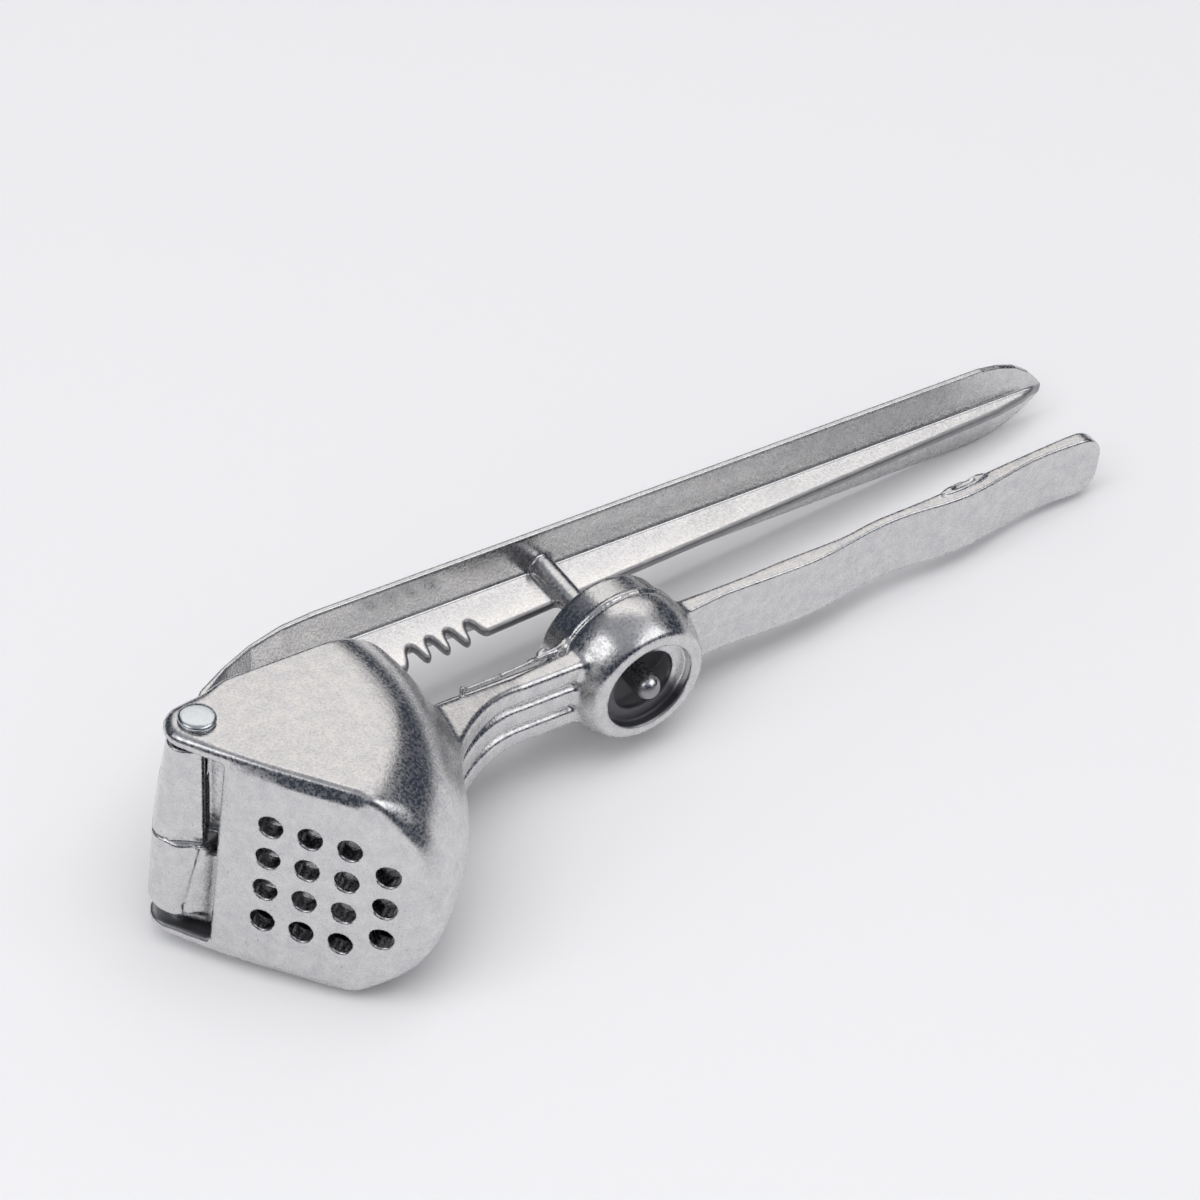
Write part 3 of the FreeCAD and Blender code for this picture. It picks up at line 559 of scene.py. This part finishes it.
# The handle is a flange with a web on its inner side. The web's near end swings past the
# hopper's end wall, and its teeth are cast on the edge beside it.
FLANGE_BACK = [(0, 0), (-2.9, 3.5), (11, 15.9), (16.5, 18.7), (22.5, 21.1), (29, 22.7), (35, 23.2),
               (178.6, 23.2), (178.6, -20)]
FLANGE_FRONT = [(0, -20), (0, 0), (12.2, 14.5), (17.5, 17.6), (23, 19.8), (29, 21.1), (35, 21.5),
                (190, 21.5), (190, -20)]
FLANGE_EDGE = [(-6, 8), (163, 7.9), (167, 7.3), (170.5, 6.1), (173.5, 4.2), (175.6, 2.1), (176.7, 0.7)]
FLANGE_SIDE = FLANGE_EDGE + [(x, -z) for x, z in reversed(FLANGE_EDGE)]
DRAFT = 0.09
TEETH = [(41, 12.3), (45.0, 12.3), (46.4, 12.3), (48.0, 15.9), (49.2, 16.3), (49.4, 12.6), (50.7, 12.4),
         (51.6, 16.2), (52.8, 16.6), (53.0, 12.7), (54.3, 12.5), (55.1, 16.4), (56.3, 16.8), (56.7, 12.7),
         (58.0, 12.6), (58.9, 16.5), (60.1, 16.9), (60.7, 13.3), (63.0, 13.45)]
PLUNGER_ANGLE = FACE_ANGLE + math.radians(4.9)
PLUNGER_GAP = 0.5
PLUNGER_FRONT = 3.0
PLUNGER_BACK = -1.2
SWING = 36.6
WEB_PLAN = (arc(SWING, math.degrees(PLUNGER_ANGLE), 16, 12) + eased(TEETH) +
            [(166, 19.15), (172, 20.1), (175, 21.2), (176, 22.2), (35, 22.2), (11, 13.9), (0, 0)])
WEB_HALF = 0.8
ROD_RADIUS = 2.05
ROD_ROOT = (76.3, 20.6, 1.5)
ROD_TIP = (76.3, -7.65, 0)


def plunger_lever(x, y, z):
    """barrel, flange, web, plunger head and rod; the head is recessed above and beside the barrel"""
    flange = common(plan(x, y, FLANGE_BACK), DRAFT * np.abs(z) - plan(x, y, FLANGE_FRONT), rounding=0.5)
    flange = common(flange, plan(x, z, FLANGE_SIDE), rounding=0.35)
    web = common(plan(x, y, WEB_PLAN), np.abs(z) - WEB_HALF, rounding=0.7)
    along = x * math.cos(PLUNGER_ANGLE) + y * math.sin(PLUNGER_ANGLE)
    out = x * math.sin(PLUNGER_ANGLE) - y * math.cos(PLUNGER_ANGLE)
    head = drum(x, y, z, BOWL_BORE - PLUNGER_GAP, INNER_HALF - PLUNGER_GAP, BORE_CORNER)
    front = PLUNGER_FRONT - 2.6 * step(-3, -1, z) * step(8.5, 6.5, along)
    head = common(head, np.maximum(np.maximum(out - front, PLUNGER_BACK - out), -along), rounding=0.8)
    body = joined(barrel(x, y, z), flange, fillet=1.2)
    body = joined(body, web, fillet=0.5)
    body = joined(body, head, fillet=1.0)
    body = joined(body, tube(x, y, z, ROD_ROOT, ROD_TIP, ROD_RADIUS), fillet=0.9)
    return cut(body, np.hypot(x, y) - RIVET_BORE, rounding=0.2)


# the web's trimmed edge gets half of the darker grey: a dull edge and a painted dark reflection
HALF_DULL_SHADE = -0.03


def plunger_dull_and_shaded(x, y, z):
    """painted shade in the gap at the plunger's root beside the barrel, and at half strength on the web's
    trimmed edge, a dull edge darkened further as a painted dark reflection
    """
    along, out = from_face(x, y)
    beside = np.maximum(5.0 - np.hypot(x, y), np.abs(along - 5.5) - 3.5)
    beside = np.maximum(beside, np.maximum(np.abs(out - 1) - 3, -1 - z))
    edge = np.maximum(np.abs(z) - 0.9, -0.5 - plan(x, y, WEB_PLAN))
    return np.minimum(beside, np.maximum(np.maximum(edge, HALF_DULL_SHADE), 39 - x))


def web_faces_painted_bright(x, y, z):
    """the web's two flat faces, away from the rod, painted paler as a highlight where light falls on them
    """
    face = np.maximum(np.abs(np.abs(z) - WEB_HALF) - 0.4, plan(x, y, FLANGE_FRONT) + 0.3)
    face = np.maximum(face, plan(x, y, WEB_PLAN) + 0.6)
    return np.maximum(face, np.maximum(12 - x, 2.8 - np.abs(x - ROD_TIP[0])))


# the hollows' mark paints shade and a dull skin; the web faces' mark paints a highlight
plunger_casting = skin("plunger_lever_casting", plunger_lever,
                       {"as_cast_and_shade": plunger_dull_and_shaded, "painted_highlight": web_faces_painted_bright}, (-7, -31, -18), (180, 25, 18))
plunger_casting.data.materials.append(ALUMINIUM)
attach(plunger_casting, "plunger_side")
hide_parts("plunger_lever")

# ------------------------------------------------------------------- hinge rivet
# A headed rivet of plated steel through both ears and the barrel, its tail spread
# into the lower ear. The head is low and slightly domed, with a rounded rim.

# radius and height, from the middle of the tail to the middle of the head
RIVET_PROFILE = [(0, -19.8), (2.9, -19.8), (2.0, -18.9), (2.0, 19.75), (2.55, 19.8), (2.78, 19.95),
                 (2.85, 20.2), (2.84, 20.45), (2.72, 20.66), (2.45, 20.78), (1.9, 20.86), (1.0, 20.9),
                 (0, 20.9)]


def turned(name, profile, steps=72):
    """turns a profile of radius and height once about the hinge axis"""
    mesh = bpy.data.meshes.new(name)
    points = []
    for radius, height in profile:
        for turn in range(steps):
            angle = 2 * math.pi * turn / steps
            points.append((radius * math.cos(angle), radius * math.sin(angle), height))
    faces = []
    for ring in range(len(profile) - 1):
        for turn in range(steps):
            following = (turn + 1) % steps
            faces.append((ring * steps + turn, ring * steps + following,
                          (ring + 1) * steps + following, (ring + 1) * steps + turn))
    mesh.from_pydata([Vector(point) / 1000 + HINGE for point in points], [], faces)
    mesh.validate()
    mesh.shade_smooth()
    piece = bpy.data.objects.new(name, mesh)
    bpy.context.collection.objects.link(piece)
    return piece


# Zinc-plated steel: bluish white and glossier than the castings, with fine scuffs.
SCUFF_SIZE = 1.2


def plated_steel():
    metal = bpy.data.materials.new("zinc_plated_steel")
    metal.use_nodes = True
    tree = metal.node_tree
    tree.nodes.clear()
    place = add_node(tree, "ShaderNodeTexCoord").outputs["Object"]
    scuffs = add_node(tree, "ShaderNodeTexNoise", inputs={
        "Vector": place, "Scale": per_metre(SCUFF_SIZE), "Detail": 4.0, "Roughness": 0.6})
    tone = add_node(tree, "ShaderNodeMix", {"data_type": "RGBA"}, {
        0: scuffs.outputs["Fac"], 6: linear("#B9C0C6"), 7: linear("#E6E9EA")})
    polish = add_node(tree, "ShaderNodeMapRange", inputs={
        "Value": scuffs.outputs["Fac"], "From Min": 0.3, "From Max": 0.7, "To Min": 0.16, "To Max": 0.3})
    bump = add_node(tree, "ShaderNodeBump", inputs={
        "Height": scuffs.outputs["Fac"], "Strength": 0.2, "Distance": 0.0002})
    surface = add_node(tree, "ShaderNodeBsdfPrincipled", inputs={
        "Base Color": tone.outputs[2], "Metallic": 1.0, "Roughness": polish.outputs["Result"],
        "Normal": bump.outputs["Normal"]})
    add_node(tree, "ShaderNodeOutputMaterial", inputs={"Surface": surface.outputs["BSDF"]})
    return metal


rivet = turned("headed_rivet", RIVET_PROFILE)
rivet.data.materials.append(plated_steel())
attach(rivet, "hopper_side")
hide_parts("hinge_rivet")

# ----------------------------------------------------------- floor, lights, camera
# A pale table that the press lies on, tilted as it rests: on the hopper's side and
# the tip of the plunger lever. Only the metal sees the three soft boxes to the left,
# behind and in front, the dark low walls and the paler ceiling. Two lamps light the table.

TILT = math.radians(4.95)
REST_ON = Vector((26.4, 0, -HALF_WIDTH)) / 1000 + HINGE
TABLE_HALF = 3.0


def table():
    mesh = bpy.data.meshes.new("table")
    corners = [(i * TABLE_HALF, j * TABLE_HALF, 0) for i, j in ((-1, -1), (1, -1), (1, 1), (-1, 1))]
    mesh.from_pydata(corners, [], [(0, 1, 2, 3)])
    top = bpy.data.objects.new("table", mesh)
    bpy.context.collection.objects.link(top)
    top.location = REST_ON
    top.rotation_euler = (0, -TILT, 0)
    paint = bpy.data.materials.new("white_table_paint")
    paint.use_nodes = True
    tree = paint.node_tree
    tree.nodes.clear()
    matt = add_node(tree, "ShaderNodeBsdfDiffuse", inputs={"Color": linear("#F1F1F3")})
    add_node(tree, "ShaderNodeOutputMaterial", inputs={"Surface": matt.outputs["BSDF"]})
    mesh.materials.append(paint)


LIT_PLACE = HINGE + Vector((0.07, 0, 0))


def soft_box(name, azimuth, elevation, distance, size, watts, colour, lights):
    """a soft box that looks at the cup from a direction in degrees, and is either mirrored
    by glossy surfaces or lights diffuse ones"""
    lamp = bpy.data.lights.new(name, "AREA")
    lamp.shape = "RECTANGLE"
    lamp.size, lamp.size_y = size
    lamp.energy = watts
    lamp.color = linear(colour)[:3]
    box = bpy.data.objects.new(name, lamp)
    bpy.context.collection.objects.link(box)
    a, e = math.radians(azimuth), math.radians(elevation)
    away = Vector((math.cos(a) * math.cos(e), math.sin(a) * math.cos(e), math.sin(e)))
    box.location = LIT_PLACE + away * distance
    box.rotation_euler = away.to_track_quat("Z", "Y").to_euler()
    box.visible_glossy = lights == "glossy"
    box.visible_diffuse = lights == "diffuse"


# azimuth and elevation, distance, size, watts, colour
table()
soft_box("left_soft_box", 176, 40, 1.5, (0.9, 0.85), 3.8, "#FFFFFF", "glossy")
soft_box("back_soft_box", 56, 47, 1.5, (1.35, 1.0), 4.3, "#FFFBF6", "glossy")
soft_box("front_soft_box", -50, 51, 1.5, (1.3, 0.9), 5.4, "#FFFFFF", "glossy")
soft_box("table_light", -80, 80, 1.6, (1.2, 1.2), 9.6, "#FFFFFF", "diffuse")
soft_box("side_light", -165, 50, 1.6, (1.2, 1.2), 10.5, "#FFFFFF", "diffuse")

# The metal mirrors dark low walls and a paler ceiling, and the camera sees a white backdrop.
world = bpy.data.worlds.new("studio")
bpy.context.scene.world = world
world.use_nodes = True
tree = world.node_tree
tree.nodes.clear()
direction = add_node(tree, "ShaderNodeTexCoord").outputs["Generated"]
height = add_node(tree, "ShaderNodeSeparateXYZ", inputs={"Vector": direction}).outputs["Z"]
overhead = add_node(tree, "ShaderNodeMapRange", inputs={"Value": height, "From Min": 0.55, "From Max": 0.9})
sky = add_node(tree, "ShaderNodeMix", {"data_type": "RGBA"}, {
    0: overhead.outputs["Result"], 6: linear("#323A49"), 7: linear("#A6A8AE")})
ray = add_node(tree, "ShaderNodeLightPath")
room = add_node(tree, "ShaderNodeMix", {"data_type": "RGBA"}, {
    0: ray.outputs["Is Glossy Ray"], 6: linear("#ABABAD"), 7: sky.outputs[2]})
backdrop = add_node(tree, "ShaderNodeMix", {"data_type": "RGBA"}, {
    0: ray.outputs["Is Camera Ray"], 6: room.outputs[2], 7: linear("#EFEFF1")})
glow = add_node(tree, "ShaderNodeBackground", inputs={"Color": backdrop.outputs[2], "Strength": 1.0})
add_node(tree, "ShaderNodeOutputWorld", inputs={"Surface": glow.outputs["Background"]})

CAMERA_PLACE = HINGE + Vector((-0.29593, -0.43353, 0.50334))
CAMERA_TURN = (48.9264, -6.2810, -34.8062)
camera_data = bpy.data.cameras.new("camera")
camera_data.lens = 150
camera_data.sensor_width = 36
camera_data.clip_end = 20
camera = bpy.data.objects.new("camera", camera_data)
bpy.context.collection.objects.link(camera)
camera.location = CAMERA_PLACE
camera.rotation_euler = [math.radians(angle) for angle in CAMERA_TURN]
bpy.context.scene.camera = camera
bpy.context.scene.view_settings.view_transform = "Standard"
